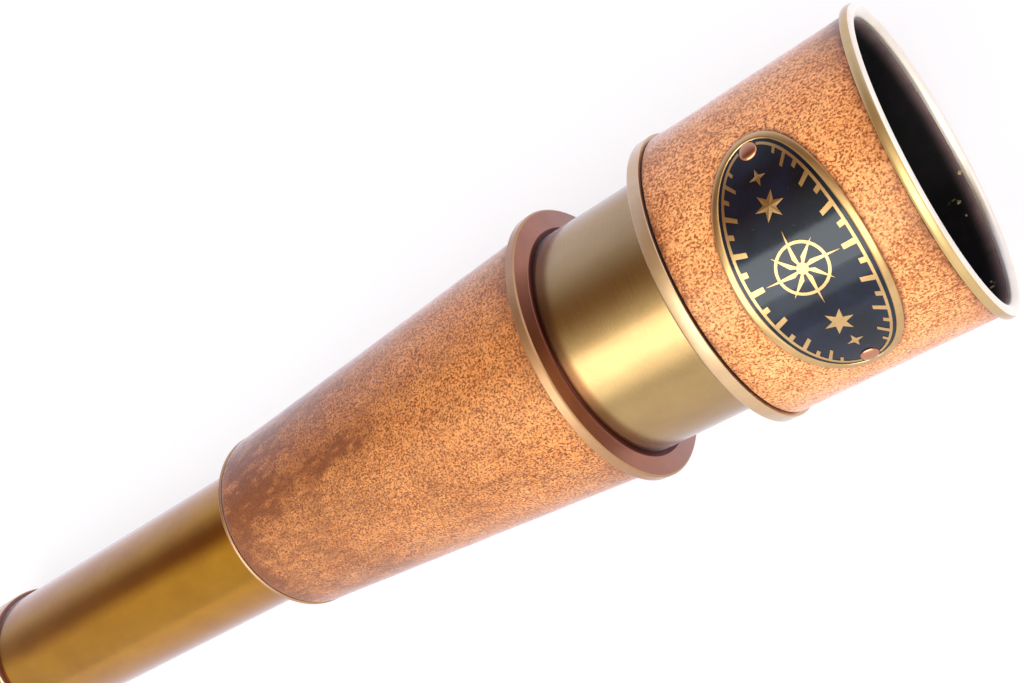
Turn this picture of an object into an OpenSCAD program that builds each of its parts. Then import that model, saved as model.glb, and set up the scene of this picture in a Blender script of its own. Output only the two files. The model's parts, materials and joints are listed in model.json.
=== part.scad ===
// Hand telescope: leather-covered brass barrel, one draw tube and a sliding sunshade.
// The optical axis is X and the objective looks towards +X.
// The origin is the centre of the lens cap's seat, at the seat's outer edge.

/* [Sunshade] */
// Length of the sunshade from its lip to its rear edge
shade_len = 45; // [43:1:47]
// Radius over the sunshade's leather
shade_r = 28.9; // [28.8:0.1:29]
// Radius of the rolled lip at the mouth
lip_r = 30; // [29.8:0.1:30.4]
// Radius of the brass ring at the sunshade's rear
rear_ring_r = 29.5; // [29.3:0.1:29.8]

/* [Name plate] */
// Half of the plate's width, along the telescope
plate_half_w = 11.8; // [11:0.2:13]
// Half of the plate's length, measured round the sunshade
plate_half_l = 24; // [22:0.5:26]
// Angle of the plate's centre above the horizontal
plate_angle = 50.6; // [0:0.2:90]

/* [Objective] */
// Outer radius of the bare brass tube behind the sunshade
drum_r = 24.2; // [24:0.1:24.3]
// Length of that tube left bare when the sunshade is forward
drum_shown = 26.2; // [24:0.2:28]
// Radius of the two objective lenses
lens_r = 21.9; // [21:0.1:22]

/* [Barrel] */
// Radius of the flange in front of the leather barrel
flange_r = 29.4; // [28.5:0.1:29.9]
// Thickness of the flange
flange_t = 2; // [1.5:0.1:2.5]
// Length of the tapered leather barrel
barrel_len = 93.3; // [92:0.1:96]
// Radius over the leather at the barrel's front
barrel_front_r = 27.3; // [27.2:0.1:28]
// Radius over the leather at the barrel's rear
barrel_rear_r = 22; // [21.9:0.1:23]

/* [Draw tube] */
// Outer radius of the draw tube
draw_r = 17.1; // [17:0.1:17.2]
// Length of the draw tube outside the barrel
draw_shown = 101.5; // [99.9:0.1:101.5]
// Radius of the collar at the draw tube's rear
collar_r = 18.3; // [18.1:0.1:19.5]
// Length of that collar
collar_len = 8; // [7:0.5:10]

/* [Eyepiece] */
// Length of the eyepiece behind the collar
eyepiece_len = 42; // [40:1:46]
// Radius of the eye cup's rim
cup_r = 20.5; // [19.5:0.1:22]
// Radius of the hole that the eye looks through
eye_hole_r = 4; // [3:0.5:5]

/* [Hidden] */
$fn = 96;

// Gaps
running = 0.05;
felt_clear = 0.08;
lens_clear = 0.1;
guide_clear = 0.4;
end_play = 0.25;
cut = 1;

// Thicknesses
tube_wall = 0.8;
leather_t = 0.8;
bevel = 0.4;

// Sunshade
lip_bead_r = 1.25;
lip_front = 1.8;
seat_len = 13.2;
seat_r = 27.5;
shade_bore_r = 27;
shade_tube_r = shade_r - leather_t;
front_band_r = 29.4;
front_band_len = 0.15;
rear_wall_t = 1.8;
rear_ring_len = 2.8;
lip_overhang = 0.2;
packing_len = 5.5;
guide_collar_len = 2.5;
x_shade_rear = lip_front - shade_len;
x_shade_tube_rear = x_shade_rear + rear_wall_t;
x_shade_packing = x_shade_tube_rear + end_play;
x_guide_collar = x_shade_packing + packing_len + end_play;

// Name plate
plate_setback = 21.6;
x_plate = lip_front - plate_setback;
plate_t = 0.3;
plate_rim_w = 1.35;
plate_rim_t = 0.65;
enamel_t = 0.15;
emblem_t = 0.15;
pin_arc = 21;
pin_head_r = 1.6;
pin_head_t = 0.6;
pin_shank_r = 0.7;
pin_depth = 1.2;

// Emblem on the plate
line_w = 0.5;
scale_gap = 0.6;
marks = 40;
mark_spread = 1.3;
long_mark = 2.7;
short_mark = 1.5;
clear_of_pin = 2.4;
open_angle = 22;
rose_points = 8;
rose_r = 6.8;
rose_short_r = 5.3;
rose_root_r = 2;
rose_ring_r = 4.5;
rose_hub_r = 1;
side_star_arc = 11;
side_star_r = 2.6;
side_star_root_r = 1.1;
end_star_arc = 16;
end_star_r = 1.5;
end_star_root_r = 0.5;

// Objective
x_cell = -28.2;
cell_lip_t = 2;
cell_len = 12;
cell_ledge_t = 2;
cell_ledge_r = 20.3;
drum_bore_r = drum_r - 1;
crown_front_sag = 2;
crown_rear_sag = 2.7;
crown_rim_t = 2.4;
lens_gap = 0.05;
flint_mid_t = 2.5;
retaining_ring_t = 1.2;
retaining_lip = 0.6;
x_flint_rear = x_cell - cell_len + cell_ledge_t;
x_crown_rear_rim = x_flint_rear + flint_mid_t + lens_gap + crown_rear_sag;
x_crown_front_rim = x_crown_rear_rim + crown_rim_t;
x_retaining_ring = x_crown_front_rim + crown_front_sag * (1 - pow(1 - retaining_lip / lens_r, 2));

// Barrel
x_flange = x_shade_rear - drum_shown;
x_barrel = x_flange - flange_t;
x_barrel_end = x_barrel - barrel_len;
drum_inside_barrel = 7;
flange_seat_r = 25.1;
flange_seat_t = 0.3;
flange_hub_len = 6;
flange_bevel = 0.5;
leather_turn_in = 1.6;
end_ring_t = 1.2;
end_ring_proud = 0.05;
end_ring_r = barrel_rear_r + end_ring_proud;
end_lip_t = 1.5;
guide_len = 18.5;
guide_outer_r = 19.4;
packing_seat_r = 18.3;
retainer_t = 2.5;
x_end_ring = x_barrel_end - end_ring_t;
x_guide_front = x_barrel_end + guide_len;
x_draw_packing = x_end_ring + end_lip_t + end_play;
function leather_r_at(x) =
    barrel_front_r + (barrel_rear_r - barrel_front_r) * (x_barrel - x) / barrel_len;

// Draw tube
draw_bore_r = draw_r - tube_wall;
stop_ring_r = 18.9;
stop_ring_t = 3;
stop_gap = 1.5;
x_stop_ring = x_guide_front + stop_gap;
x_draw_front = x_stop_ring + stop_ring_t;
collar_web_t = 2;
x_collar = x_end_ring - draw_shown;
x_draw_rear = x_collar - collar_len + collar_web_t;
baffle_r = 10;
baffle_t = 1;
baffle_setback = 6;

// Erector, which turns the picture upright
erector_r = 13.5;
erector_bore_r = erector_r - tube_wall;
erector_lens_r = 12.6;
erector_sag = 2.2;
erector_len = 65;
erector_setback = 34;
erector_collar_t = 4;
erector_collar_inset = 20;
erector_lens_inset = 8;
erector_stop_r = 3.5;
x_erector_front = x_draw_front - erector_setback;
x_erector_rear = x_erector_front - erector_len;
x_front_lens = x_erector_front - erector_lens_inset;
x_rear_lens = x_erector_rear + erector_lens_inset;
x_erector_stop = (x_erector_front + x_erector_rear - baffle_t) / 2;
lens_ring_t = 2;
lens_ring_lip = 1.5;
thin_rim_t = 1.5;

// Eyepiece
eyepiece_front_len = 4;
x_eyepiece_front = x_collar + eyepiece_front_len;
x_eyepiece_shoulder = x_collar - collar_len;
x_cup_rear = x_eyepiece_shoulder - eyepiece_len;
neck_r = 16.2;
knurl_r = 18.2;
knurl_len = 5;
neck_floor_t = 2;
field_lens_inset = 6;
field_lens_r = 14.9;
field_sag = 3.4;
eye_lens_r = 9;
eye_sag = 3;
eyepiece_bore_r = 15;
cup_root_r = 15.4;
cup_screw_r = 11.5;
cup_screw_len = 7;
eyepiece_shown = 24;
x_neck_rear = x_eyepiece_shoulder - eyepiece_shown;
cup_rim_len = 5;
cup_dish_depth = 6.5;
cup_dish_r = 18.4;
cup_web_t = 1.2;
x_field_lens = x_eyepiece_front - field_lens_inset;
x_eye_lens = x_cup_rear + cup_dish_depth + cup_web_t;

// Colours
brass = [0.80, 0.62, 0.33];
dark_brass = [0.42, 0.27, 0.20];
leather = [0.72, 0.42, 0.24];
black = [0.04, 0.04, 0.05];
enamel = [0.03, 0.03, 0.08];
copper = [0.75, 0.45, 0.30];
cork = [0.70, 0.55, 0.38];
glass = [0.75, 0.85, 0.90, 0.5];

// A straight tube on the axis, from x0 up to x1
module ring(x0, x1, outer, inner) {
    translate([x0, 0, 0])
        rotate([0, 90, 0])
            difference() {
                cylinder(h = x1 - x0, r = outer);
                translate([0, 0, -cut])
                    cylinder(h = x1 - x0 + 2 * cut, r = inner);
            }
}

// A solid disc on the axis, from x0 up to x1
module disc(x0, x1, r) {
    translate([x0, 0, 0])
        rotate([0, 90, 0])
            cylinder(h = x1 - x0, r = r);
}

// A profile of [x, radius] points turned about the axis
module turned(profile) {
    rotate([0, 90, 0])
        rotate_extrude()
            polygon([for (p = profile) [p[1], p[0]]]);
}

// A round bead about the axis
module bead(x, middle_r, r) {
    translate([x, 0, 0])
        rotate([0, 90, 0])
            rotate_extrude()
                translate([middle_r, 0])
                    circle(r = r, $fn = 48);
}

// A lens cut to radius r, as a profile turned about the axis. x_rear and x_front are the
// places of its faces at the rim, and each face bulges out by its sag, or in if negative.
module lens(x_rear, rear_sag, x_front, front_sag, r) {
    steps = 12;
    color(glass)
        turned(concat(
            [for (i = [0 : steps]) [x_front + front_sag * (1 - pow(i / steps, 2)), r * i / steps]],
            [for (i = [steps : -1 : 0]) [x_rear - rear_sag * (1 - pow(i / steps, 2)), r * i / steps]]
        ));
}

module shade_tube() {
    color(brass)
        difference() {
            ring(x_shade_tube_rear, 0, shade_tube_r, shade_bore_r);
            disc(-seat_len, cut, seat_r);
            pin_shanks();
        }
}

module shade_leather() {
    color(leather)
        difference() {
            ring(x_shade_rear + rear_ring_len, -front_band_len, shade_r, shade_tube_r);
            pin_shanks();
        }
}

module shade_front_ring() {
    color(brass)
        difference() {
            union() {
                ring(-front_band_len, lip_front - lip_bead_r, front_band_r, shade_tube_r - lip_overhang);
                bead(lip_front - lip_bead_r, lip_r - lip_bead_r, lip_bead_r);
            }
            disc(-front_band_len - cut, 0, shade_tube_r);
            disc(-2 * lip_bead_r, -front_band_len, lip_r);
        }
}

module shade_rear_ring() {
    color(brass)
        difference() {
            turned([
                [x_shade_rear, drum_r + guide_clear],
                [x_shade_rear, rear_ring_r - bevel],
                [x_shade_rear + bevel, rear_ring_r],
                [x_shade_rear + rear_ring_len, rear_ring_r],
                [x_shade_rear + rear_ring_len, drum_r + guide_clear]
            ]);
            disc(x_shade_tube_rear, x_shade_rear + rear_ring_len + cut, shade_tube_r);
        }
}

module shade_guide_collar() {
    color(dark_brass)
        ring(x_guide_collar, x_guide_collar + guide_collar_len, shade_bore_r, drum_r + guide_clear);
}

// Carries what lies on the sunshade: local Z points out of it and local Y runs round it
module on_shade() {
    translate([x_plate, 0, 0])
        rotate([90 - plate_angle, 0, 0])
            children();
}

// Angle round the sunshade that an arc on its leather spans
function arc_angle(arc) = arc / shade_r * 180 / PI;

// Local height over the sunshade's axis, at the plate's face, of an arc on the leather
function wrapped(arc) = (shade_r + plate_rim_t) * sin(arc_angle(arc));

// An oval that reaches half_w along the telescope and half_l round it
function on_oval(half_w, half_l, t) = [half_w * cos(t), wrapped(half_l * sin(t))];

module oval(half_w, half_l) {
    polygon([for (t = [0 : 5 : 355]) on_oval(half_w, half_l, t)]);
}

// A layer of the plate: a flat shape wrapped on the sunshade between two radii
module layer(r_in, r_out) {
    intersection() {
        on_shade()
            linear_extrude(height = lip_r)
                children();
        ring(x_plate - 2 * plate_half_w, x_plate + 2 * plate_half_w, r_out, r_in);
    }
}

module pin_places() {
    for (side = [-1, 1])
        translate([x_plate, 0, 0])
            rotate([90 - plate_angle - side * arc_angle(pin_arc), 0, 0])
                children();
}

module pin_shanks() {
    pin_places()
        translate([0, 0, shade_r - pin_depth])
            cylinder(h = pin_depth + plate_t + enamel_t, r = pin_shank_r);
}

module name_plate() {
    color(brass)
        difference() {
            union() {
                layer(shade_r, shade_r + plate_t)
                    oval(plate_half_w, plate_half_l);
                layer(shade_r + plate_t, shade_r + plate_rim_t)
                    difference() {
                        oval(plate_half_w, plate_half_l);
                        oval(plate_half_w - plate_rim_w, plate_half_l - plate_rim_w);
                    }
            }
            pin_shanks();
        }
}

module plate_enamel() {
    color(enamel)
        difference() {
            layer(shade_r + plate_t, shade_r + plate_t + enamel_t)
                oval(plate_half_w - plate_rim_w, plate_half_l - plate_rim_w);
            pin_shanks();
        }
}

// A star with pointed arms
module star(arms, tip_r, root_r) {
    polygon([for (i = [0 : 2 * arms - 1])
        (i % 2 == 0 ? tip_r : root_r) * [cos(180 * i / arms), sin(180 * i / arms)]]);
}

// One mark of the scale at angle t, from the oval line inwards
module mark(half_w, half_l, t, long) {
    polygon([
        on_oval(half_w, half_l, t - mark_spread),
        on_oval(half_w, half_l, t + mark_spread),
        on_oval(half_w - long, half_l - long, t + mark_spread),
        on_oval(half_w - long, half_l - long, t - mark_spread)
    ]);
}

// An oval line with marks like a compass scale's, left open round the two pins
module scale_line() {
    half_w = plate_half_w - plate_rim_w - scale_gap;
    half_l = plate_half_l - plate_rim_w - scale_gap;
    difference() {
        oval(half_w, half_l);
        oval(half_w - line_w, half_l - line_w);
        for (end = [-1, 1])
            translate([0, end * wrapped(pin_arc)])
                circle(r = clear_of_pin);
    }
    for (i = [0 : marks - 1])
        if (abs(cos(360 * i / marks)) > sin(open_angle))
            mark(half_w, half_l, 360 * i / marks, i % 2 == 0 ? long_mark : short_mark);
}

// A compass rose: the enamel fills one half of every point, and a ring joins them
module compass_rose() {
    half_turn = 180 / rose_points;
    for (i = [0 : rose_points - 1])
        rotate(2 * half_turn * i)
            polygon([
                [0, 0],
                [i % 2 == 0 ? rose_r : rose_short_r, 0],
                rose_root_r * [cos(half_turn), sin(half_turn)]
            ]);
    difference() {
        circle(r = rose_ring_r);
        circle(r = rose_ring_r - line_w);
    }
    circle(r = rose_hub_r);
}

module plate_emblem() {
    color(brass)
        layer(shade_r + plate_t + enamel_t, shade_r + plate_t + enamel_t + emblem_t) {
            scale_line();
            compass_rose();
            for (side = [-1, 1]) {
                translate([0, side * side_star_arc])
                    star(6, side_star_r, side_star_root_r);
                translate([0, side * end_star_arc])
                    star(4, end_star_r, end_star_root_r);
            }
        }
}

module plate_pins() {
    color(copper) {
        pin_shanks();
        pin_places()
            translate([0, 0, shade_r + plate_t + enamel_t])
                rotate_extrude()
                    polygon(concat(
                        [[0, 0]],
                        [for (t = [0 : 15 : 90]) [pin_head_r * cos(t), pin_head_t * sin(t)]]
                    ));
    }
}

module shade_packing() {
    color(cork)
        ring(x_shade_packing, x_shade_packing + packing_len, shade_bore_r - felt_clear, drum_r + running);
}

module objective_tube() {
    color(brass)
        ring(x_barrel - drum_inside_barrel, x_cell - cell_lip_t, drum_r, drum_bore_r);
}

module objective_cell() {
    color(black)
        difference() {
            union() {
                disc(x_cell - cell_len, x_cell, drum_bore_r);
                disc(x_cell - cell_lip_t, x_cell, drum_r);
            }
            disc(x_flint_rear, x_cell + cut, lens_r + lens_clear);
            disc(x_cell - cell_len - cut, x_cell, cell_ledge_r);
        }
}

module crown_lens() {
    lens(x_crown_rear_rim, crown_rear_sag, x_crown_front_rim, crown_front_sag, lens_r);
}

module flint_lens() {
    lens(x_flint_rear, 0, x_crown_rear_rim - lens_gap, -crown_rear_sag, lens_r);
}

module lens_retaining_ring() {
    color(black)
        ring(
            x_retaining_ring,
            x_retaining_ring + retaining_ring_t,
            lens_r + lens_clear,
            lens_r - retaining_lip
        );
}

module barrel_flange() {
    color(dark_brass)
        turned([
            [x_barrel - flange_hub_len, drum_r],
            [x_barrel - flange_hub_len, flange_seat_r],
            [x_barrel, flange_seat_r],
            [x_barrel, flange_r],
            [x_flange - flange_bevel, flange_r],
            [x_flange, flange_r - flange_bevel],
            [x_flange, flange_seat_r],
            [x_flange + flange_seat_t, flange_seat_r],
            [x_flange + flange_seat_t, drum_r]
        ]);
}

module barrel_tube() {
    front_r = leather_r_at(x_barrel) - leather_t;
    rear_r = leather_r_at(x_barrel_end) - leather_t;
    color(brass)
        turned([
            [x_barrel, front_r],
            [x_barrel, front_r - tube_wall],
            [x_barrel_end, rear_r - tube_wall],
            [x_barrel_end, rear_r]
        ]);
}

// The leather's rear edge is turned in over a quarter round
module barrel_leather() {
    tube_r = leather_r_at(x_barrel_end) - leather_t;
    color(leather)
        turned(concat(
            [
                [x_barrel, leather_r_at(x_barrel) - leather_t],
                [x_barrel, leather_r_at(x_barrel)]
            ],
            [for (t = [90 : -15 : 0])
                [x_barrel_end + leather_turn_in * (1 - cos(t)), tube_r + leather_t * sin(t)]
            ]
        ));
}

module barrel_end_ring() {
    color(brass)
        difference() {
            union() {
                disc(x_end_ring, x_barrel_end, end_ring_r - end_ring_t / 2);
                bead(x_barrel_end - end_ring_t / 2, end_ring_r - end_ring_t / 2, end_ring_t / 2);
                disc(x_barrel_end - cut / 2, x_guide_front, guide_outer_r);
            }
            disc(x_end_ring - cut, x_guide_front + cut, draw_r + guide_clear);
            disc(x_end_ring + end_lip_t, x_guide_front + cut, packing_seat_r);
        }
}

module packing_retainer() {
    color(dark_brass)
        ring(x_guide_front - retainer_t, x_guide_front, packing_seat_r, draw_r + guide_clear);
}

module draw_packing() {
    x_front = x_guide_front - retainer_t - end_play;
    color(cork)
        ring(x_draw_packing, x_front, packing_seat_r - felt_clear, draw_r + running);
}

module draw_tube() {
    color(brass)
        ring(x_draw_rear, x_draw_front, draw_r, draw_bore_r);
}

module draw_stop_ring() {
    color(dark_brass)
        ring(x_stop_ring, x_draw_front, stop_ring_r, draw_r);
}

module draw_baffle() {
    x_front = x_draw_front - baffle_setback;
    color(black)
        ring(x_front - baffle_t, x_front, draw_bore_r, baffle_r);
}

module erector_tube() {
    color(black)
        ring(x_erector_rear, x_erector_front, erector_r, erector_bore_r);
}

module erector_collars() {
    x_front = x_erector_front - erector_collar_inset;
    x_rear = x_erector_rear + erector_collar_inset;
    color(brass) {
        ring(x_front - erector_collar_t, x_front, draw_bore_r, erector_r);
        ring(x_rear, x_rear + erector_collar_t, draw_bore_r, erector_r);
    }
}

module erector_front_lens() {
    lens(x_front_lens, 0, x_front_lens + thin_rim_t, erector_sag, erector_lens_r);
}

module erector_rear_lens() {
    lens(x_rear_lens - thin_rim_t, erector_sag, x_rear_lens, 0, erector_lens_r);
}

module erector_stop() {
    color(black)
        ring(x_erector_stop, x_erector_stop + baffle_t, erector_bore_r, erector_stop_r);
}

module erector_lens_rings() {
    inner = erector_bore_r - lens_ring_lip;
    color(brass) {
        ring(x_front_lens - lens_ring_t, x_front_lens, erector_bore_r, inner);
        ring(x_rear_lens, x_rear_lens + lens_ring_t, erector_bore_r, inner);
    }
}

module draw_collar() {
    color(brass)
        difference() {
            turned([
                [x_collar - collar_len, 0],
                [x_collar - collar_len, collar_r - bevel],
                [x_collar - collar_len + bevel, collar_r],
                [x_collar - bevel, collar_r],
                [x_collar, collar_r - bevel],
                [x_collar, 0]
            ]);
            disc(x_draw_rear, x_collar + cut, draw_r);
            disc(x_collar - collar_len - cut, x_collar, draw_bore_r);
        }
}

module eyepiece_tube() {
    color(brass)
        difference() {
            union() {
                disc(x_eyepiece_shoulder, x_eyepiece_front, draw_bore_r);
                disc(x_eyepiece_shoulder - knurl_len, x_eyepiece_shoulder, knurl_r);
                disc(x_neck_rear, x_eyepiece_shoulder - cut, neck_r);
            }
            disc(x_neck_rear + neck_floor_t, x_eyepiece_front + cut, eyepiece_bore_r);
            disc(x_neck_rear - cut, x_eyepiece_front, cup_screw_r);
        }
}

module field_lens() {
    lens(x_field_lens, 0, x_field_lens + thin_rim_t, field_sag, field_lens_r);
}

module field_lens_ring() {
    color(brass)
        ring(x_field_lens - lens_ring_t, x_field_lens, eyepiece_bore_r, eyepiece_bore_r - lens_ring_lip);
}

module eye_lens() {
    lens(x_eye_lens, 0, x_eye_lens + thin_rim_t, eye_sag, eye_lens_r);
}

// The cup flares from the screw in the neck to a straight rim, with a dish for the eye
module eye_cup() {
    x_dish = x_cup_rear + cup_dish_depth;
    x_rim = x_cup_rear + cup_rim_len;
    color(brass)
        difference() {
            turned(concat(
                [
                    [x_cup_rear, 0],
                    [x_cup_rear, cup_dish_r],
                    [x_cup_rear, cup_r - bevel],
                    [x_cup_rear + bevel, cup_r],
                    [x_rim, cup_r]
                ],
                [for (t = [0 : 10 : 90])
                    [
                        x_rim + (x_neck_rear - x_rim) * (1 - cos(t)),
                        cup_r - (cup_r - cup_root_r) * sin(t)
                    ]
                ],
                [
                    [x_neck_rear, cup_screw_r],
                    [x_neck_rear + cup_screw_len, cup_screw_r],
                    [x_neck_rear + cup_screw_len, 0]
                ]
            ));
            turned([
                [x_cup_rear - cut, 0],
                [x_cup_rear - cut, cup_dish_r],
                [x_cup_rear, cup_dish_r],
                [x_dish, eye_hole_r],
                [x_dish, 0]
            ]);
            disc(x_dish - cut, x_dish + cup_web_t + cut, eye_hole_r);
            disc(x_dish + cup_web_t, x_neck_rear + cup_screw_len + cut, eye_lens_r + lens_clear);
        }
}

shade_tube();
shade_leather();
shade_front_ring();
shade_rear_ring();
shade_guide_collar();
name_plate();
plate_enamel();
plate_emblem();
plate_pins();
shade_packing();
objective_tube();
objective_cell();
crown_lens();
flint_lens();
lens_retaining_ring();
barrel_flange();
barrel_tube();
barrel_leather();
barrel_end_ring();
packing_retainer();
draw_packing();
draw_tube();
draw_stop_ring();
draw_baffle();
erector_tube();
erector_collars();
erector_front_lens();
erector_rear_lens();
erector_stop();
erector_lens_rings();
draw_collar();
eyepiece_tube();
field_lens();
field_lens_ring();
eye_lens();
eye_cup();
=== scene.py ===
"""A leather-covered brass hand telescope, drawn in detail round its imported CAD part."""

import json
import math

import bmesh
import bpy
import numpy as np
from mathutils import Matrix, Vector


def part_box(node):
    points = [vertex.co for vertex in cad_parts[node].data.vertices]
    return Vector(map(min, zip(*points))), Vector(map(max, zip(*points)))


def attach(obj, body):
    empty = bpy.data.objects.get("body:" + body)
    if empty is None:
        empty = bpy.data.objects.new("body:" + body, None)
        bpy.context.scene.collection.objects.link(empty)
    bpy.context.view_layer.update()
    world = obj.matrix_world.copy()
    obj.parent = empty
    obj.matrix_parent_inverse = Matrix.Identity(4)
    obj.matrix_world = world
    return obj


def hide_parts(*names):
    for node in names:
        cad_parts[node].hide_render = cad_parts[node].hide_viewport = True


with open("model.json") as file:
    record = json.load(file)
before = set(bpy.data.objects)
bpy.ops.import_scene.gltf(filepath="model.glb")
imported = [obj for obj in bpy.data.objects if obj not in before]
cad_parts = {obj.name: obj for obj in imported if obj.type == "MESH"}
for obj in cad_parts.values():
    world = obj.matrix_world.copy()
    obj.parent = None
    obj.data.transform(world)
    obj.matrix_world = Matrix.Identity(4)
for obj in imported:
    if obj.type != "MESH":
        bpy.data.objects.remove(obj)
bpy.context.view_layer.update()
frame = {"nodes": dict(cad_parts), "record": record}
scene = bpy.context.scene

# Every length below is in millimetres, and the row frame's +X is the telescope's axis.
MM = 0.001
AROUND = 320
GRAIN_STEP = 0.3


def span(node):
    """(rear x, front x, outer radius) of a turned CAD node."""
    low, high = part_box(node)
    return low.x / MM, high.x / MM, round(max(high.y, high.z) / MM, 2)


# ---------------------------------------------------------------- meshes


def finished(name, mesh, body, nodes, materials, crease=35):
    """Links a mesh as a piece that rides on a body and stands for CAD nodes."""
    mesh.polygons.foreach_set("use_smooth", [True] * len(mesh.polygons))
    mesh.set_sharp_from_angle(angle=math.radians(crease))
    piece = bpy.data.objects.new(name, mesh)
    scene.collection.objects.link(piece)
    for material in materials:
        mesh.materials.append(material)
    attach(piece, body)
    if nodes:
        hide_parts(*nodes)


def eased(corners, radius, steps=4):
    """A closed outline with its corners rounded off."""
    corners = [np.array(c, float) for c in corners]
    outline = []
    for i, corner in enumerate(corners):
        back = corners[i - 1] - corner
        ahead = corners[(i + 1) % len(corners)] - corner
        reach = min(radius, 0.45 * np.linalg.norm(back), 0.45 * np.linalg.norm(ahead))
        start = corner + back / np.linalg.norm(back) * reach
        end = corner + ahead / np.linalg.norm(ahead) * reach
        for t in np.linspace(0, 1, steps + 1):
            outline.append((1 - t) ** 2 * start + 2 * t * (1 - t) * corner + t * t * end)
    return np.array(outline)


def filled_in(outline, longest):
    """The closed outline with points added so that no side is over the given length."""
    outline = np.array(outline, float)
    made = []
    for a, b in zip(outline, np.roll(outline, -1, 0)):
        parts = max(1, math.ceil(np.linalg.norm(b - a) / longest))
        made += [a + (b - a) * k / parts for k in range(parts)]
    return np.array(made)


def ring_quads(rows, around, closed=False):
    """Four-sided faces between rows of points that each go once round."""
    i = np.arange(rows if closed else rows - 1)[:, None]
    j = np.arange(around)[None, :]
    k, m = (i + 1) % rows, (j + 1) % around
    quads = np.stack([i * around + j, i * around + m, k * around + m, k * around + j], -1)
    return quads.reshape(-1, 4)


def turned_mesh(name, outline, around=AROUND, relief=None, closed=True, marks=None):
    """A mesh of an [x, radius] outline turned about the axis.

    relief(x, turn, radius) gives how far each point stands out, and marks is a dict of
    functions that give a value at each point for the materials to read."""
    outline = np.array(outline, float)
    x, r = outline[:, 0], outline[:, 1]
    area = np.sum(x * np.roll(r, -1) - np.roll(x, -1) * r)
    if area > 0:
        outline = outline[::-1]
    rows = len(outline)
    turn = np.linspace(0, 2 * math.pi, around, endpoint=False)
    x = np.repeat(outline[:, :1], around, 1)
    r = np.repeat(outline[:, 1:], around, 1)
    turn = np.repeat(turn[None, :], rows, 0)
    if relief:
        r = r + relief(x, turn, r)
    points = np.stack([x, -r * np.cos(turn), r * np.sin(turn)], -1).reshape(-1, 3) * MM
    mesh = mesh_of(name, points, ring_quads(rows, around, closed))
    if marks:
        for key, value in marks.items():
            layer = mesh.attributes.new(key, "FLOAT", "POINT")
            layer.data.foreach_set("value", value(x, turn).astype(np.float32).ravel())
    if r.min() < 1e-6:
        merged(mesh)
    return mesh


def mesh_of(name, points, quads):
    """A mesh of points and four-sided faces."""
    mesh = bpy.data.meshes.new(name)
    mesh.vertices.add(len(points))
    mesh.vertices.foreach_set("co", points.astype(np.float32).ravel())
    mesh.loops.add(quads.size)
    mesh.loops.foreach_set("vertex_index", quads.astype(np.int32).ravel())
    mesh.polygons.add(len(quads))
    mesh.polygons.foreach_set("loop_start", np.arange(0, quads.size, quads.shape[1], dtype=np.int32))
    mesh.update(calc_edges=True)
    return mesh


def merged(mesh):
    """Joins the points that lie together, as at a lens's centre."""
    bm = bmesh.new()
    bm.from_mesh(mesh)
    bmesh.ops.remove_doubles(bm, verts=bm.verts, dist=1e-8)
    bm.to_mesh(mesh)
    bm.free()


def faced_outwards(mesh):
    """Turns every face of a closed mesh outwards."""
    bm = bmesh.new()
    bm.from_mesh(mesh)
    bmesh.ops.recalc_face_normals(bm, faces=bm.faces)
    bm.to_mesh(mesh)
    bm.free()


def centres_of(mesh):
    """(x, radius) of every face's middle."""
    centres = np.zeros(len(mesh.polygons) * 3)
    mesh.polygons.foreach_get("center", centres)
    centres = centres.reshape(-1, 3) / MM
    return centres[:, 0], np.hypot(centres[:, 1], centres[:, 2])


def give_materials(mesh, chosen):
    """Gives each face the material of that number, or of 0 and 1 for false and true."""
    mesh.polygons.foreach_set("material_index", np.asarray(chosen).astype(np.int32))


# ---------------------------------------------------------------- noise for relief


def field(x, turn, cells_round, cell_len, seed):
    """Smooth noise from 0 to 1 on a tube, with no seam round it."""
    u = turn / (2 * math.pi) * cells_round
    v = x / cell_len
    v = v - math.floor(float(v.min())) + 1
    rows = int(v.max()) + 3
    table = np.random.default_rng(seed).random((rows, cells_round))
    i, j = np.floor(v).astype(int), np.floor(u).astype(int)
    s, t = v - i, u - j
    s, t = s * s * (3 - 2 * s), t * t * (3 - 2 * t)
    j, k = j % cells_round, (j + 1) % cells_round
    low = table[i, j] * (1 - t) + table[i, k] * t
    high = table[i + 1, j] * (1 - t) + table[i + 1, k] * t
    return low * (1 - s) + high * s


def pebbles(x, turn, cells_round, cell_len, seed):
    """(distance to the nearest pebble's middle, distance to the crease), in cells."""
    u = turn / (2 * math.pi) * cells_round
    v = x / cell_len
    v = v - math.floor(float(v.min())) + 2
    rows = int(v.max()) + 4
    places = np.random.default_rng(seed).random((2, rows, cells_round)) * 0.8 + 0.1
    i, j = np.floor(v).astype(int), np.floor(u).astype(int)
    first = np.full(x.shape, 9.0)
    second = np.full(x.shape, 9.0)
    for a in (-1, 0, 1):
        for b in (-1, 0, 1):
            row, column = i + a, j + b
            across = column + places[1][row, column % cells_round] - u
            up = row + places[0][row, column % cells_round] - v
            distance = np.hypot(across, up)
            second = np.minimum(second, np.maximum(first, distance))
            first = np.minimum(first, distance)
    return first, second - first


# ---------------------------------------------------------------- node materials


# The sockets of a colour mix node.
MIX_SHARE, MIX_A, MIX_B, MIX_RESULT = 0, 6, 7, 2


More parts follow.
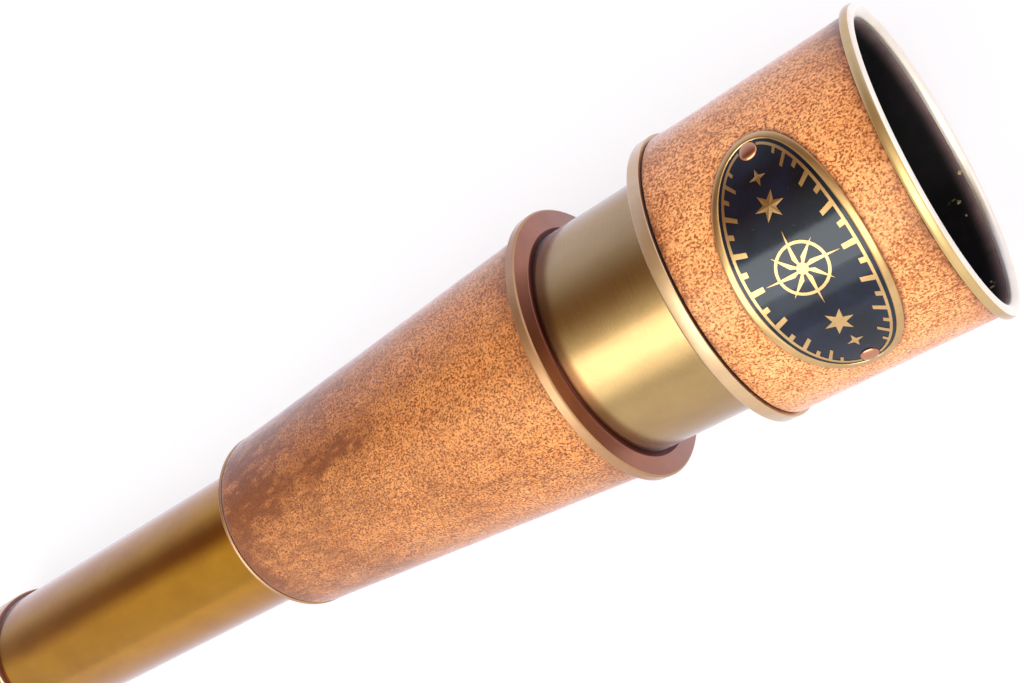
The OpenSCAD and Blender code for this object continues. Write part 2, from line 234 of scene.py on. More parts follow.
class Nodes:
    """Builds one node material, a node at a time."""

    def __init__(self, name):
        self.material = bpy.data.materials.new(name)
        self.material.use_nodes = True
        self.tree = self.material.node_tree
        self.shader = self.tree.nodes["Principled BSDF"]

    def add(self, kind, **values):
        node = self.tree.nodes.new(kind)
        for key, value in values.items():
            if key in node.inputs:
                node.inputs[key].default_value = value
            else:
                setattr(node, key, value)
        return node

    def link(self, output, target):
        self.tree.links.new(output, target)

    def coordinates(self, stretch):
        """Object coordinates in millimetres, divided by stretch."""
        place = self.add("ShaderNodeTexCoord").outputs["Object"]
        scaled = self.add("ShaderNodeVectorMath", operation="MULTIPLY")
        scaled.inputs[1].default_value = [1 / (MM * s) for s in stretch]
        self.link(place, scaled.inputs[0])
        return scaled.outputs[0]

    def noise(self, stretch, detail=3.0, roughness=0.55, offset=0.0):
        node = self.add("ShaderNodeTexNoise", Scale=1.0, Detail=detail, Roughness=roughness)
        place = self.coordinates(stretch)
        if offset:
            moved = self.add("ShaderNodeVectorMath", operation="ADD")
            moved.inputs[1].default_value = (offset,) * 3
            self.link(place, moved.inputs[0])
            place = moved.outputs[0]
        self.link(place, node.inputs["Vector"])
        return node.outputs[0]

    def cells(self, stretch, feature="F1"):
        node = self.add("ShaderNodeTexVoronoi", feature=feature, Scale=1.0)
        self.link(self.coordinates(stretch), node.inputs["Vector"])
        return node.outputs["Distance"]

    def ramp(self, value, stops):
        """Colours or greys at places from 0 to 1 along a value."""
        node = self.add("ShaderNodeValToRGB")
        elements = node.color_ramp.elements
        while len(elements) > 1:
            elements.remove(elements[0])
        for n, (place, colour) in enumerate(stops):
            element = elements[0] if n == 0 else elements.new(place)
            element.position = place
            element.color = (*((colour,) * 3 if isinstance(colour, (int, float)) else colour), 1)
        self.link(value, node.inputs[0])
        return node.outputs[0]

    def mixed(self, share, a, b):
        """Mixes two colours, or sockets, by a share that may be a socket too."""
        node = self.add("ShaderNodeMix", data_type="RGBA")
        for target, value in ((MIX_SHARE, share), (MIX_A, a), (MIX_B, b)):
            if isinstance(value, bpy.types.NodeSocket):
                self.link(value, node.inputs[target])
            elif target == MIX_SHARE:
                node.inputs[target].default_value = value
            else:
                node.inputs[target].default_value = (*value, 1)
        return node.outputs[MIX_RESULT]

    def maths(self, operation, a, b):
        node = self.add("ShaderNodeMath", operation=operation)
        for n, value in enumerate((a, b)):
            if isinstance(value, bpy.types.NodeSocket):
                self.link(value, node.inputs[n])
            else:
                node.inputs[n].default_value = value
        return node.outputs[0]

    def bump(self, height, distance, strength, below=None):
        node = self.add("ShaderNodeBump", Strength=strength, Distance=distance * MM)
        self.link(height, node.inputs["Height"])
        if below is not None:
            self.link(below, node.inputs["Normal"])
        return node.outputs[0]

    def mark(self, name):
        return self.add("ShaderNodeAttribute", attribute_name=name).outputs["Fac"]

    def set(self, **values):
        for key, value in values.items():
            target = self.shader.inputs[key.replace("_", " ")]
            if isinstance(value, bpy.types.NodeSocket):
                self.link(value, target)
            else:
                target.default_value = value
        return self.material


EDGE_TINT = (0.6, 0.54, 0.62)


def brass(name, light, dark, roughness, turned=True, coat=1.0, tarnish=0.5, edge=EDGE_TINT, haze=0.2):
    """Lacquered brass with turning marks round the axis, scratches and tarnish.

    edge is the metal's colour at low angles, and haze is the strength of a pale bloom."""
    n = Nodes(name)
    # Marks run round the axis, so they change quickly along it and slowly round it.
    lines = n.noise((0.1, 12, 12) if turned else (0.5, 0.5, 0.5), detail=3, roughness=0.6)
    cloud = n.noise((14, 9, 9), detail=4, roughness=0.6, offset=3)
    specks = n.noise((0.45, 0.45, 0.45), detail=2, offset=7)
    shade = n.ramp(cloud, [(0.35, 0.0), (0.7, 1.0)])
    body = n.mixed(n.maths("MULTIPLY", shade, tarnish), light, dark)
    body = n.mixed(n.ramp(lines, [(0.3, 0.07), (0.55, 0.0)]), body, dark)
    body = n.mixed(n.ramp(specks, [(0.7, 0.0), (0.78, 0.4)]), body, dark)
    gloss = n.ramp(lines, [(0.3, roughness + 0.03), (0.7, roughness - 0.02)])
    scratch = n.cells((30, 3.5, 7), feature="DISTANCE_TO_EDGE")
    few = n.noise((9, 6, 6), detail=1, offset=21)
    scratch = n.ramp(scratch, [(0.0, 0.0), (0.004, 1.0)])
    height = n.bump(n.mixed(n.ramp(few, [(0.5, 1.0), (0.56, 0.0)]), scratch, (1, 1, 1)), 0.006, 0.3)
    height = n.bump(lines, 0.0006, 0.12, below=height)
    n.set(
        Base_Color=body,
        Metallic=1.0,
        Roughness=gloss,
        Normal=height,
        Specular_Tint=(*edge, 1),
        Coat_Weight=coat,
        Coat_Roughness=0.22,
        Coat_IOR=1.34,
        Sheen_Weight=haze,
        Sheen_Roughness=0.3,
        Sheen_Tint=(0.82, 0.84, 1.0, 1),
        Anisotropic=0.4,
    )
    if turned:
        tangent = n.add("ShaderNodeTangent", direction_type="RADIAL", axis="X")
        n.link(tangent.outputs[0], n.shader.inputs["Tangent"])
    return n.material


def leather(name, light, mid, dark, stain_and_shade):
    """Waxed tan leather with pores, mottling, streaks along the tube and stained edges; the stain colour
    also serves a painted dark band of shade on the barrel.
    """
    n = Nodes(name)
    mottle = n.noise((7, 5, 5), detail=5, roughness=0.7)
    cloud = n.noise((34, 20, 20), detail=3, roughness=0.5, offset=11)
    streak = n.noise((15, 1.7, 1.7), detail=4, roughness=0.6, offset=5)
    pore = n.cells((0.74, 0.74, 0.74))
    fine = n.noise((0.46, 0.38, 0.38), detail=2, roughness=0.7)
    patch = n.noise((2.2, 1.6, 1.6), detail=3, roughness=0.6, offset=17)
    body = n.mixed(n.ramp(mottle, [(0.34, 0.0), (0.64, 1.0)]), light, mid)
    body = n.mixed(n.ramp(cloud, [(0.5, 0.0), (0.75, 0.4)]), body, dark)
    body = n.mixed(n.ramp(streak, [(0.54, 0.0), (0.72, 0.4)]), body, dark)
    body = n.mixed(n.ramp(patch, [(0.5, 0.0), (0.68, 0.4)]), body, dark)
    body = n.mixed(n.ramp(pore, [(0.14, 0.95), (0.36, 0.0)]), body, dark)
    body = n.mixed(n.ramp(fine, [(0.4, 0.95), (0.5, 0.0)]), body, dark)
    body = n.mixed(n.ramp(fine, [(0.5, 0.0), (0.62, 0.9)]), body, light)
    crack = n.ramp(n.cells((13, 2.2, 2.2), feature="DISTANCE_TO_EDGE"), [(0.008, 0.75), (0.02, 0.0)])
    crack = n.maths("MULTIPLY", crack, n.ramp(cloud, [(0.46, 0.0), (0.6, 1.0)]))
    body = n.mixed(crack, body, dark)
    body = n.mixed(n.mark("crease"), body, dark)
    # The stain mark darkens towards the stain colour: real stains and dirt, and on the barrel also a
    # painted dark band of shade.
    body = n.mixed(n.mark("stain_and_shade"), body, stain_and_shade)
    gloss = n.ramp(mottle, [(0.3, 0.36), (0.7, 0.5)])
    height = n.bump(n.ramp(pore, [(0.05, 0.0), (0.4, 1.0)]), 0.05, 0.5)
    height = n.bump(fine, 0.08, 0.6, below=height)
    n.set(
        Base_Color=body,
        Roughness=gloss,
        Normal=height,
        Sheen_Weight=0.8,
        Sheen_Roughness=0.26,
        Sheen_Tint=(0.86, 0.82, 0.98, 1),
        Specular_IOR_Level=0.6,
        Specular_Tint=(1.0, 0.74, 0.48, 1),
        Coat_Weight=0.12,
        Coat_Roughness=0.3,
    )
    return n.material


def blackened(name, shade=0.012, mouth_sheen=None, chips=None):
    """Matt black paint, dusty, painted paler near the mouth as a painted reflection of the bright room,
    and there chipped back to brass.
    """
    n = Nodes(name)
    dust = n.noise((5, 5, 5), detail=5, roughness=0.6)
    fine = n.noise((0.35, 0.35, 0.35), detail=2)
    body = n.mixed(n.ramp(dust, [(0.4, 0.0), (0.8, 1.0)]), (shade,) * 3, (shade * 3, shade * 2, shade * 3))
    metal = 0.0
    if mouth_sheen:
        # Near the mouth the paint is mixed towards a pale pinkish grey: a painted reflection of the room
        # at the low angle, not wear.
        painted_mouth_sheen = n.maths("MULTIPLY", n.mark("mouth"), n.ramp(dust, [(0.3, 0.6), (0.65, 1.0)]))
        body = n.mixed(painted_mouth_sheen, body, mouth_sheen)
        spots = n.cells((1.9, 1.9, 1.9))
        ragged = n.ramp(n.noise((0.7, 0.7, 0.7), detail=3), [(0.3, 0.0), (0.7, 0.2)])
        spots = n.ramp(n.maths("ADD", spots, ragged), [(0.3, 1.0), (0.36, 0.0)])
        few = n.ramp(n.noise((7, 7, 7), detail=1, offset=4), [(0.58, 0.0), (0.62, 1.0)])
        chipped = n.maths("MULTIPLY", n.maths("MULTIPLY", spots, few), n.mark("chip"))
        body = n.mixed(chipped, body, chips)
        metal = chipped
    n.set(
        Base_Color=body,
        Metallic=metal,
        Roughness=n.ramp(dust, [(0.3, 0.5), (0.7, 0.7)]),
        Normal=n.bump(fine, 0.02, 0.5),
        Specular_IOR_Level=0.12,
    )
    return n.material


def enamel_finish(name):
    """Glossy black enamel with a blue cast, faint ripples and dust."""
    n = Nodes(name)
    cloud = n.noise((6, 6, 6), detail=3)
    ripple = n.noise((3.2, 3.2, 3.2), detail=1, offset=2)
    speck = n.noise((0.5, 0.5, 0.5), detail=2, offset=9)
    body = n.mixed(n.ramp(cloud, [(0.35, 0.0), (0.75, 1.0)]), (0.003, 0.003, 0.006), (0.007, 0.008, 0.024))
    body = n.mixed(n.ramp(speck, [(0.72, 0.0), (0.8, 0.3)]), body, (0.2, 0.2, 0.24))
    n.set(
        Base_Color=body,
        Roughness=n.ramp(speck, [(0.3, 0.1), (0.7, 0.16)]),
        Normal=n.bump(ripple, 0.05, 0.4),
        Specular_IOR_Level=0.5,
        Specular_Tint=(0.82, 0.92, 1.0, 1),
    )
    return n.material


def glass_finish(name, tint):
    """Clear lens glass with a thin coating and a trace of dust."""
    n = Nodes(name)
    dust = n.noise((1.4, 1.4, 1.4), detail=4, roughness=0.7)
    n.set(
        Base_Color=n.mixed(n.ramp(dust, [(0.6, 0.0), (0.8, 0.25)]), tint, (0.85, 0.85, 0.82)),
        Roughness=n.ramp(dust, [(0.55, 0.0), (0.85, 0.12)]),
        Transmission_Weight=1.0,
        IOR=1.52,
    )
    return n.material


def felt(name):
    """Pressed felt with matted fibres."""
    n = Nodes(name)
    fibre = n.noise((0.9, 0.25, 0.25), detail=5, roughness=0.7)
    n.set(
        Base_Color=n.ramp(fibre, [(0.3, (0.16, 0.10, 0.05)), (0.7, (0.40, 0.29, 0.17))]),
        Roughness=0.95,
        Normal=n.bump(fibre, 0.1, 0.8),
        Sheen_Weight=0.4,
    )
    return n.material


ring_brass = brass("ring_brass", (0.72, 0.50, 0.28), (0.46, 0.29, 0.13), roughness=0.36)
front_brass = brass("front_brass", (0.66, 0.46, 0.19), (0.44, 0.27, 0.09), roughness=0.34)
# The rolled lip's pale, nearly white brass is a painted highlight: a lit copy of the front ring's brass.
lip_highlight_brass = brass(
    "lip_highlight_brass", (0.90, 0.82, 0.72), (0.72, 0.62, 0.50), roughness=0.42, edge=(1.0, 1.0, 1.0), haze=0.4
)
drum_brass = brass("drum_brass", (0.42, 0.275, 0.105), (0.31, 0.185, 0.065), roughness=0.25, haze=0.3)
draw_brass = brass(
    "draw_brass",
    (0.46, 0.22, 0.012),
    (0.33, 0.13, 0.006),
    roughness=0.18,
    coat=0.25,
    edge=(0.8, 0.78, 0.9),
    haze=0.45,
)
# Dark brass for the inner rings, also used as painted shade on the draw collar's front face.
dark_brass = brass("dark_brass", (0.22, 0.10, 0.09), (0.12, 0.04, 0.036), roughness=0.45)
flange_brass = brass("flange_brass", (0.36, 0.14, 0.085), (0.24, 0.08, 0.045), roughness=0.28)
# Almost black brass for the flange's groove by the drum: a painted shadow in the groove.
seat_shadow_brass = brass(
    "seat_shadow_brass", (0.10, 0.022, 0.014), (0.05, 0.01, 0.008), roughness=0.4, coat=0.3, haze=0.0
)
rim_brass = brass("rim_brass", (0.50, 0.28, 0.13), (0.34, 0.17, 0.07), roughness=0.4)
inner_brass = brass("inner_brass", (0.66, 0.44, 0.18), (0.34, 0.19, 0.06), roughness=0.35)
plate_brass = brass(
    "plate_brass", (0.66, 0.43, 0.18), (0.38, 0.21, 0.07), roughness=0.3, turned=False, tarnish=0.7
)
copper = brass("copper", (0.62, 0.27, 0.14), (0.26, 0.09, 0.05), roughness=0.24, turned=False)
hood_leather = leather(
    "hood_leather",
    light=(1.0, 0.47, 0.18),
    mid=(0.80, 0.29, 0.085),
    dark=(0.23, 0.052, 0.010),
    stain_and_shade=(0.13, 0.028, 0.010),
)
barrel_leather = leather(
    "barrel_leather",
    light=(0.80, 0.33, 0.10),
    mid=(0.54, 0.175, 0.04),
    dark=(0.13, 0.028, 0.005),
    stain_and_shade=(0.14, 0.034, 0.009),
)
black_paint = blackened("black_paint")
# The mouth paint's pale pinkish grey is a painted reflection; its chips are bare brass.
mouth_paint = blackened("mouth_paint", 0.0025, mouth_sheen=(0.26, 0.17, 0.17), chips=(0.95, 0.74, 0.36))
enamel = enamel_finish("enamel")
objective_glass = glass_finish("objective_glass", (0.95, 0.98, 1.0))
eye_glass = glass_finish("eye_glass", (0.97, 0.99, 0.97))
packing_felt = felt("packing_felt")

# ---------------------------------------------------------------- sunshade

hood_rear, hood_front, hood_r = span("shade_leather")
tube_rear, tube_front, tube_r = span("shade_tube")
ring_rear, lip_front, lip_r = span("shade_front_ring")
seat = next(m for m in frame["record"]["mounts"] if m["name"] == "shade_mouth")
seat_r = seat["dims"]["r_mm"]
seat_len = seat["dims"]["length_mm"]
collar_rear, collar_front, shade_bore_r = span("shade_guide_collar")
plate_low, plate_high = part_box("name_plate")
plate_x = (plate_low.x + plate_high.x) / 2 / MM
plate_middle = (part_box("plate_enamel")[0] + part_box("plate_enamel")[1]) / 2
plate_turn = math.atan2(plate_middle.z, -plate_middle.y)
plate_half_w = (plate_high.x - plate_low.x) / 2 / MM
PLATE_HALF_L = 24.0
PLATE_RIM_W = 1.35
PIN_ARC = 21.0
# The leather's seams lie opposite the plate.
SEAM_TURN = plate_turn + math.pi


def arc_from(middle, turn, radius):
    """The length round a tube from one turn to another, negative on one side."""
    return (np.mod(turn - middle + math.pi, 2 * math.pi) - math.pi) * radius


def from_plate(x, turn):
    """How far a point is from the plate's middle, as a share of the plate: under 1 is beneath it."""
    return np.hypot((x - plate_x) / plate_half_w, arc_from(plate_turn, turn, hood_r) / PLATE_HALF_L)


def leather_relief(cells_round, radius, seed, keep_flat=None):
    """Pebbled grain with creases, soft lumps and a butted seam along the tube."""

    def relief(x, turn, r):
        middle, crease = pebbles(x, turn, cells_round, 2 * math.pi * radius / cells_round, seed)
        grain = np.clip(crease / 0.35, 0, 1) ** 0.7 - 0.35 * np.clip(1 - middle / 0.22, 0, 1)
        lumps = field(x, turn, cells_round // 9, 5.0, seed + 1) - 0.5
        out = 0.045 * (grain - 1) + 0.05 * (lumps - 0.5)
        out -= 0.28 * np.exp(-((arc_from(SEAM_TURN, turn, radius) / 0.28) ** 2))
        if keep_flat is not None:
            out *= np.clip((keep_flat(x, turn) - 0.98) * 18, 0, 1)
        return out * (r > radius - 0.45)

    return relief


def leather_marks(cells_round, radius, rear, front, seed, reach, rear_darkening, dirt_and_shade):
    """Where the leather is darkened: its creases, and stains that spread from its ends.

    reach is how far the stains spread from the rear end and from the front, the next argument is how much
    the leather darkens steadily towards the rear, and the last is a function that adds more darkening to
    the stain mark: dirt round the sunshade's plate, and painted shade on the barrel."""

    def crease(x, turn):
        middle, edge = pebbles(x, turn, cells_round, 2 * math.pi * radius / cells_round, seed)
        pit = np.clip(1 - middle / 0.3, 0, 1) * (field(x, turn, cells_round, 0.7, seed + 5) > 0.45)
        return 0.25 * np.clip(1 - edge / 0.18, 0, 1) + 0.45 * pit

    def stain_and_shade(x, turn):
        wander = field(x, turn, 22, 4.0, seed + 2)
        fleck = field(x, turn, 150, 2.2, seed + 3)
        near_rear = np.exp(-(x - rear) / (0.5 + 1.8 * wander))
        near_front = np.exp(-(front - x) / (0.4 + 1.2 * wander))
        line = np.exp(-((arc_from(SEAM_TURN, turn, radius) / 0.4) ** 2))
        blot = np.clip((field(x, turn, 9, 15.0, seed + 4) - 0.4) * 2.4, 0, 1)
        blot *= 0.35 + 0.65 * field(x, turn, 46, 9.0, seed + 6)
        spread = 0.3 + np.exp(-(x - rear) / reach[0]) + np.exp(-(front - x) / reach[1])
        total = 0.4 * near_rear + 0.55 * near_front + 0.9 * line + 0.8 * blot * np.clip(spread, 0, 1)
        total += 0.2 * np.exp(-(front - x) / reach[1])
        total += rear_darkening * (0.6 + 0.4 * wander) * np.clip((front - x) / (front - rear) * 2.4 - 0.7, 0, 1)
        # On the barrel this adds a painted dark band: painted shade along the upper side.
        total = total + dirt_and_shade(x, turn)
        return np.clip(total * (0.5 + 0.75 * fleck), 0, 0.9)

    return {"crease": crease, "stain_and_shade": stain_and_shade}


def edge_of_plate(x, turn):
    """Dirt gathered round the plate's edge."""
    return 0.8 * np.exp(-(((from_plate(x, turn) - 1.0) / 0.035) ** 2))


hood_corners = [
    (hood_rear + 0.25, tube_r),
    (hood_rear + 0.25, hood_r),
    (hood_front - 0.1, hood_r),
    (hood_front - 0.1, tube_r),
]
HOOD_PEBBLE = 0.85
HOOD_SEED = 21
hood_cells = int(2 * math.pi * hood_r / HOOD_PEBBLE)
hood_marks = leather_marks(
    hood_cells, hood_r, hood_rear, hood_front, HOOD_SEED, reach=(2, 5), rear_darkening=0.0, dirt_and_shade=edge_of_plate
)
finished(
    "sunshade_leather",
    turned_mesh(
        "sunshade_leather",
        filled_in(eased(hood_corners, 0.4, 5), GRAIN_STEP),
        around=int(2 * math.pi * hood_r / GRAIN_STEP),
        relief=leather_relief(hood_cells, hood_r, HOOD_SEED, from_plate),
        marks=hood_marks,
    ),
    "sunshade",
    ["shade_leather"],
    [hood_leather],
    crease=60,
)


def bead_arc(x, r, size, start, end, steps=22):
    """Points of a round bead between two angles, 0 towards +X and 90 outwards."""
    return [
        (x + size * math.cos(math.radians(a)), r + size * math.sin(math.radians(a)))
        for a in np.linspace(start, end, steps)
    ]


LIP_BEAD = 1.25
bead = (lip_front - LIP_BEAD, lip_r - LIP_BEAD, LIP_BEAD)
band_r = lip_r - 0.6
front_ring = (
    [(ring_rear, tube_r), (ring_rear, band_r + 0.2)]
    + bead_arc(*bead, 122, -88)
    + [(bead[0] - 0.3, seat_r), (0.02, seat_r), (0.02, tube_r)]
)
front_mesh = turned_mesh("sunshade_front_ring", front_ring)
finished(
    "sunshade_front_ring", front_mesh, "sunshade", ["shade_front_ring"], [front_brass, lip_highlight_brass]
)

face_x, face_r = centres_of(front_mesh)
# Faces on the rolled lip take the pale brass of the painted highlight, the rest the front ring's brass.
give_materials(front_mesh, face_x - bead[0] > 0.9 * (face_r - bead[1]))

back_rear, back_front, back_r = span("shade_rear_ring")
guide_r = span("objective_tube")[2] + 0.4
rear_ring = [
    (back_rear, guide_r + 0.1),
    (back_rear, back_r - 0.5),
    (back_rear + 0.1, back_r - 0.36),
    (back_rear + 0.34, back_r - 0.05),
    (back_rear + 0.46, back_r),
    (back_front - 0.12, back_r),
    (back_front, back_r - 0.12),
    (back_front, tube_r),
    (tube_rear, tube_r),
    (tube_rear, guide_r),
    (back_rear + 0.1, guide_r),
]
rear_mesh = turned_mesh("sunshade_rear_ring", rear_ring)
finished("sunshade_rear_ring", rear_mesh, "sunshade", ["shade_rear_ring"], [ring_brass])

tube_outline = [
    (tube_rear, tube_r - 0.005),
    (tube_front - 0.12, tube_r - 0.005),
    (tube_front, tube_r - 0.15),
    (tube_front, seat_r + 0.15),
    (tube_front - 0.15, seat_r),
    (-seat_len, seat_r),
    (-seat_len - 0.02, shade_bore_r),
    (tube_rear, shade_bore_r),
]
finished(
    "sunshade_tube",
    turned_mesh(
        "sunshade_tube",
        filled_in(tube_outline, 0.7),
        marks={
            "mouth": lambda x, turn: np.clip((x + 2.6) / 2.6, 0, 1) ** 2.2,
            "chip": lambda x, turn: np.exp(-(((x + 1.6) / 1.5) ** 2)),
        },
        relief=lambda x, turn, r: np.where(r < tube_r - 0.3, -0.03 * field(x, turn, 26, 6.0, 5), 0.0),
    ),
    "sunshade",
    ["shade_tube"],
    [mouth_paint],
)
guide_corners = [
    (collar_rear, guide_r),
    (collar_rear, shade_bore_r - 0.01),
    (collar_front, shade_bore_r - 0.01),
    (collar_front, guide_r),
]
guide_mesh = turned_mesh("sunshade_guide", eased(guide_corners, 0.25))
finished("sunshade_guide", guide_mesh, "sunshade", ["shade_guide_collar"], [black_paint])

# ---------------------------------------------------------------- plate


def on_tube(across, arc, radius):
    """The point at a place on the plate: across runs along the tube, arc round it."""
    turn = plate_turn + np.asarray(arc) / hood_r
    return np.stack(
        [plate_x + np.asarray(across) + 0 * turn, -radius * np.cos(turn), radius * np.sin(turn)], -1
    ) * MM


OVAL_AROUND = 240


def oval_mesh(name, rings):
    """A closed mesh of ovals given as (half width, half length, radius)."""
    t = np.linspace(0, 2 * math.pi, OVAL_AROUND, endpoint=False)
    points = [on_tube(w * np.cos(t), l * np.sin(t), r) for w, l, r in rings]
    mesh = mesh_of(name, np.concatenate(points), ring_quads(len(rings), OVAL_AROUND))
    merged(mesh)
    faced_outwards(mesh)
    return mesh


def shrunk(w, l, r, shares):
    """An oval repeated at shares of its size, to fill it in."""
    return [(w * s, l * s, r) for s in shares]


FACE_R = hood_r + 0.45
inner_w, inner_l = plate_half_w - PLATE_RIM_W, PLATE_HALF_L - PLATE_RIM_W
TO_MIDDLE = [tenths / 10 for tenths in range(9, -1, -1)]
# The rim's section, as (inset from the plate's edge, height over the leather).
rim = [
    (0.0, 0.02),
    (0.0, 0.42),
    (0.06, 0.54),
    (0.2, 0.62),
    (0.42, 0.65),
    (0.9, 0.65),
    (1.12, 0.62),
    (1.27, 0.55),
    (PLATE_RIM_W, 0.44),
    (PLATE_RIM_W, 0.3),
]
plate_rings = shrunk(plate_half_w, PLATE_HALF_L, hood_r + 0.02, TO_MIDDLE[::-1])
plate_rings += [(plate_half_w - inset, PLATE_HALF_L - inset, hood_r + up) for inset, up in rim]
plate_rings += shrunk(inner_w, inner_l, hood_r + 0.3, TO_MIDDLE)
finished("plate", oval_mesh("plate", plate_rings), "sunshade", ["name_plate"], [plate_brass])

pool = [(0.02, 0.31), (0.02, 0.46), (0.12, 0.452), (0.3, 0.45)]
enamel_rings = shrunk(inner_w - 0.02, inner_l - 0.02, hood_r + 0.31, TO_MIDDLE[::-1])
enamel_rings += [(inner_w - inset, inner_l - inset, hood_r + up) for inset, up in pool]
enamel_rings += shrunk(inner_w - 0.3, inner_l - 0.3, FACE_R, TO_MIDDLE)
enamel_mesh = oval_mesh("plate_enamel", enamel_rings)
finished("plate_enamel", enamel_mesh, "sunshade", ["plate_enamel"], [enamel], crease=50)


def raised(name, outlines, height, crown=0.0):
    """Flat outlines on the plate raised into relief and bent to the tube.

    Each comes as (outline, middle): crown lifts the middle, where there is one, to a peak."""
    bm = bmesh.new()
    for outline, middle in outlines:
        ring = [bm.verts.new((a, b, 0)) for a, b in outline]
        if middle is None:
            bm.faces.new(ring)
        else:
            peak = bm.verts.new((*middle, 1))
            for a, b in zip(ring, ring[1:] + ring[:1]):
                bm.faces.new((a, b, peak))
    bmesh.ops.remove_doubles(bm, verts=bm.verts, dist=1e-4)
    bmesh.ops.triangulate(bm, faces=bm.faces)
    low = min(v.co.y for v in bm.verts)
    high = max(v.co.y for v in bm.verts)
    for cut in np.arange(low + 0.7, high, 0.7):
        bmesh.ops.bisect_plane(
            bm, geom=bm.verts[:] + bm.edges[:] + bm.faces[:], plane_co=(0, cut, 0), plane_no=(0, 1, 0)
        )
    made = bmesh.ops.extrude_face_region(bm, geom=list(bm.faces))
    lifted = {part for part in made["geom"] if isinstance(part, bmesh.types.BMVert)}
    for v in bm.verts:
        up = height + crown * v.co.z if v in lifted else 0.0
        v.co = Vector(on_tube(v.co.x, v.co.y, FACE_R + up))
    bmesh.ops.recalc_face_normals(bm, faces=bm.faces)
    mesh = bpy.data.meshes.new(name)
    bm.to_mesh(mesh)
    bm.free()
    return mesh


def star(arms, tip, root, arc):
    """A pointed star's outline at an arc from the plate's middle, and its own middle."""
    outline = []
    for i in range(2 * arms):
        a = math.pi * i / arms
        reach = root if i % 2 else tip
        outline.append((reach * math.cos(a), arc + reach * math.sin(a)))
    return outline, (0.0, arc)


def polar(places):
    """Points given as (distance from the plate's middle, angle)."""
    return [(q * math.cos(a), q * math.sin(a)) for q, a in places]


def circle_line(r, line, parts=72):
    """A thin ring, part by part."""
    step = 2 * math.pi / parts
    outlines = []
    for a in (step * i for i in range(parts)):
        places = ((r, a), (r, a + step), (r - line, a + step), (r - line, a))
        outlines.append((polar(places), None))
    return outlines


ROSE_POINTS = 8
HUB_R = 1.0


def rose_outlines(long, short, root):
    """The brass half of each of a compass rose's points."""
    half = math.pi / ROSE_POINTS
    start = 0.7 * HUB_R
    outlines = []
    for i in range(ROSE_POINTS):
        a = 2 * half * i
        tip = short if i % 2 else long
        places = ((start, a), (tip, a), (root, a + half), (start, a + half))
        outlines.append((polar(places), None))
    return outlines


SCALE_GAP = 0.6
scale_w, scale_l = inner_w - SCALE_GAP, inner_l - SCALE_GAP


def on_oval(inset, turn):
    """A point inside the scale's oval, at an inset from it."""
    return (scale_w - inset) * math.cos(turn), (scale_l - inset) * math.sin(turn)


def scale_outlines(line):
    """An oval line, left open round the pins."""
    outlines = []
    step = math.pi / 90
    for a in (2 * step * i for i in range(90)):
        if abs(math.sin(a + step)) < math.cos(math.radians(8.5)):
            corners = ((0, a), (0, a + 2 * step), (line, a + 2 * step), (line, a))
            outlines.append(([on_oval(*corner) for corner in corners], None))
    return outlines


def mark_outlines(marks, line, long, short):
    """Marks like a compass scale's, from the oval line inwards and clear of the pins."""
    spread = math.radians(1.3)
    outlines = []
    for i in range(marks):
        a = 2 * math.pi * i / marks
        if abs(math.cos(a)) > math.sin(math.radians(22)):
            end = short if i % 2 else long
            corners = ((line, a - spread), (line, a + spread), (end, a + spread), (end, a - spread))
            outlines.append(([on_oval(*corner) for corner in corners], None))
    return outlines


LINE_W = 0.5
big_stars = [star(6, 2.6, 1.1, side * 11.0) for side in (-1, 1)]
small_stars = [star(4, 1.5, 0.5, side * 16.0) for side in (-1, 1)]
EMBLEM = {
    "plate_scale": raised("plate_scale", scale_outlines(LINE_W), 0.1),
    "plate_marks": raised("plate_marks", mark_outlines(40, LINE_W, 2.7, 1.5), 0.1),
    "plate_rose": raised("plate_rose", rose_outlines(6.8, 5.3, 2.0), 0.12),
    "plate_rose_ring": raised("plate_rose_ring", circle_line(4.5, LINE_W), 0.09),
    "plate_rose_hub": raised("plate_rose_hub", [star(12, HUB_R, 0.98 * HUB_R, 0.0)], 0.1, crown=0.05),
    "plate_stars": raised("plate_stars", big_stars, 0.03, crown=0.1),
    "plate_end_stars": raised("plate_end_stars", small_stars, 0.03, crown=0.08),
}
for name, mesh in EMBLEM.items():
    nodes = ["plate_emblem"] if name == "plate_rose" else []
    finished(name, mesh, "sunshade", nodes, [plate_brass], crease=12)


PIN_AROUND = 48
# The pin head's section, as (height over the enamel, radius).
PIN_HEAD = [
    (0.0, 0.0),
    (0.0, 1.6),
    (0.08, 1.62),
    (0.2, 1.55),
    (0.36, 1.32),
    (0.48, 1.0),
    (0.56, 0.6),
    (0.585, 0.25),
    (0.59, 0.0),
]


def pin_mesh(name, side):
    """A domed pin head with a slightly flattened crown."""
    turn = plate_turn + side * PIN_ARC / hood_r
    out = np.array([0, -math.cos(turn), math.sin(turn)])
    round_ = np.array([0, math.sin(turn), math.cos(turn)])
    along = np.array([1.0, 0, 0])
    centre = np.array([plate_x, 0, 0])
    a = np.linspace(0, 2 * math.pi, PIN_AROUND, endpoint=False)
    points = np.concatenate(
        [
            centre + out * (FACE_R + up) + r * (np.cos(a)[:, None] * along + np.sin(a)[:, None] * round_)
            for up, r in PIN_HEAD
        ]
    )
    mesh = mesh_of(name, points * MM, ring_quads(len(PIN_HEAD), PIN_AROUND))
    merged(mesh)
    faced_outwards(mesh)
    return mesh


finished("plate_pin_1", pin_mesh("plate_pin_1", -1), "sunshade", ["plate_pins"], [copper])
finished("plate_pin_2", pin_mesh("plate_pin_2", 1), "sunshade", [], [copper])

# ---------------------------------------------------------------- objective and barrel

drum_r = span("objective_tube")[2]
DENTS = 0.02


